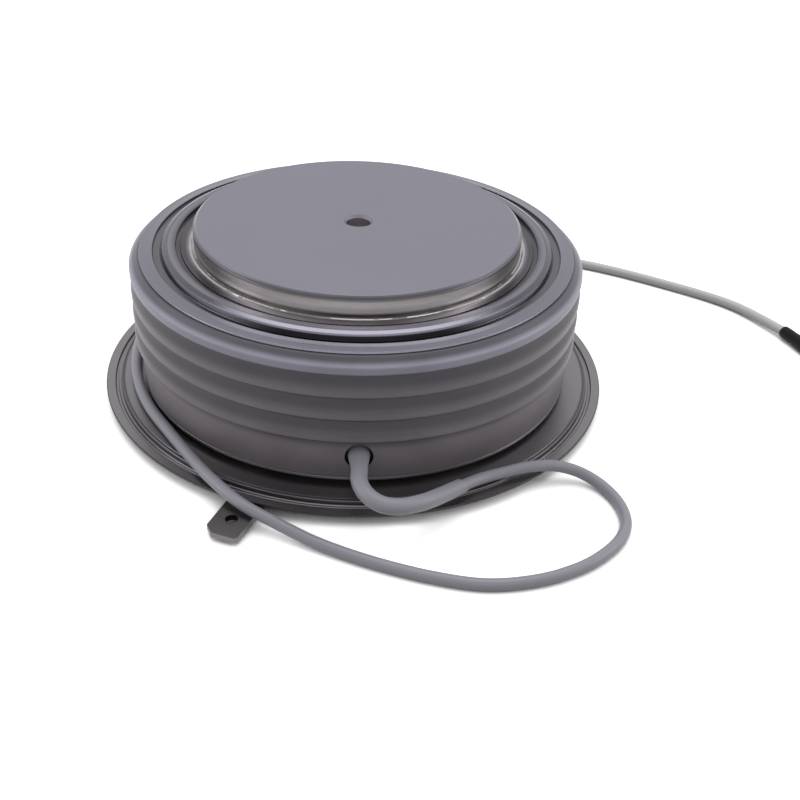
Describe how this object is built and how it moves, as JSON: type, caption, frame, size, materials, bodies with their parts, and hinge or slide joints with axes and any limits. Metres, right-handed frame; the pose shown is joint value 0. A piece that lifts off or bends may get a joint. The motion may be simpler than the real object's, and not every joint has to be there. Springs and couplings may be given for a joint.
{
  "type": "disc thyristor",
  "caption": "Press-pack thyristor: ribbed ceramic ring between flat round metal contact faces, with a weld flange, a cathode tab and a flexible gate lead.",
  "frame": {"origin": "centre of the lower (cathode) contact face, on the capsule's axis", "axes": "+Z along the capsule's axis from the cathode face to the anode face; the gate leaves the ceramic towards -Y"},
  "size_m": [0.1204, 0.0959, 0.026],
  "materials": {
    "plated_pole": "matte nickel plate on copper",
    "plated_sheet": "satin nickel plate",
    "braze": "satin braze metal",
    "ceramic": "satin glaze, grey",
    "tab_metal": "dull plated steel",
    "molybdenum": "satin",
    "silicon": "polished",
    "seal_rubber": "matte",
    "inner_plastic": "matte",
    "plated_contact": "gold plate",
    "spring_steel": "satin",
    "plated_wire": "silver plate",
    "lead_insulation": "satin fluoroplastic, pale grey",
    "shrink_sleeve": "satin black",
    "terminal_metal": "tin plate"
  },
  "bodies": {
    "root": {"anode_pole": "plated_pole", "anode_sheet": "plated_sheet", "anode_braze_ring": "braze", "ceramic_ring": "ceramic", "upper_flange": "plated_sheet", "lower_flange": "plated_sheet", "cathode_braze_ring": "braze", "cathode_pole": "plated_pole", "auxiliary_cathode_tab": "tab_metal", "anode_disc": "molybdenum", "silicon_wafer": "silicon", "edge_seal": "seal_rubber", "cathode_disc": "molybdenum", "centring_ring": "inner_plastic", "gate_cup": "inner_plastic", "gate_pin": "plated_contact", "gate_spring": "spring_steel", "gate_inner_wire": "plated_wire", "gate_inner_tubing": "inner_plastic", "gate_tube": "plated_sheet", "gate_tube_braze": "braze", "gate_sleeve": "lead_insulation", "gate_lead": "lead_insulation", "lead_end_sleeve": "shrink_sleeve", "lead_terminal": "terminal_metal"}
  },
  "joints": []
}
